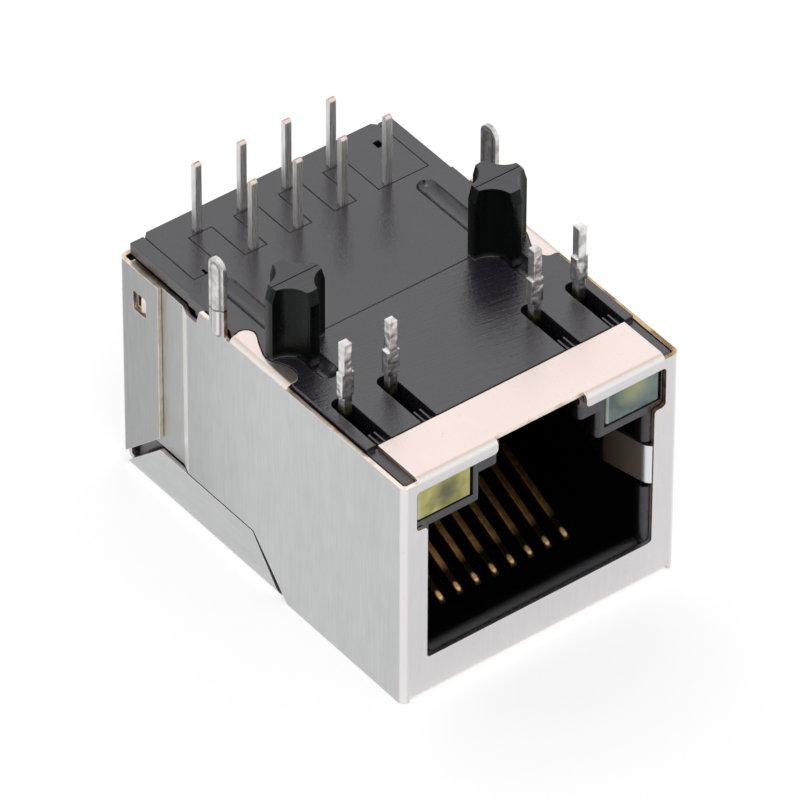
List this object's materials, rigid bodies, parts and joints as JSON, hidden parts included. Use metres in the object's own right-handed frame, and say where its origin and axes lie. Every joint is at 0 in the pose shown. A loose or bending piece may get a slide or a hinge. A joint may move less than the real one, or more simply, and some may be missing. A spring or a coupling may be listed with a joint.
{
  "type": "rj45 board jack",
  "caption": "Shielded right-angle board jack for a modular network plug, with a folded metal shell, spring contacts, indicator lamps and solder pins.",
  "frame": {"origin": "centre of the footprint at the flat cover of the shield, which the part rests on", "axes": "+Z towards the circuit board, the way the pins and posts point; -Y out of the plug opening, the way the plug leaves; +X to the right of someone who looks into the opening with the pins up"},
  "size_m": [0.0158, 0.0212, 0.017],
  "materials": {
    "shield_plate": "thin sheet with a tin-nickel plate, fine grain, bare brassy cut edges",
    "black_plastic": "black glass-filled moulding, satin with faint flow streaks",
    "contact_plating": "gold flash on the spring arms, matt tin on the solder pins",
    "tinned_lead": "dull tinned lead-frame wire",
    "lamp_green": "cloudy pale green diffusing resin",
    "lamp_yellow": "cloudy olive yellow diffusing resin"
  },
  "bodies": {
    "root": {"shield": "shield_plate", "housing": "black_plastic", "contact_carrier": "black_plastic", "led_green": "lamp_green", "led_yellow": "lamp_yellow", "contact_1": "contact_plating", "contact_2": "contact_plating", "contact_3": "contact_plating", "contact_4": "contact_plating", "contact_5": "contact_plating", "contact_6": "contact_plating", "contact_7": "contact_plating", "contact_8": "contact_plating", "led_green_lead_inner": "tinned_lead", "led_green_lead_outer": "tinned_lead", "led_yellow_lead_inner": "tinned_lead", "led_yellow_lead_outer": "tinned_lead"}
  },
  "joints": []
}
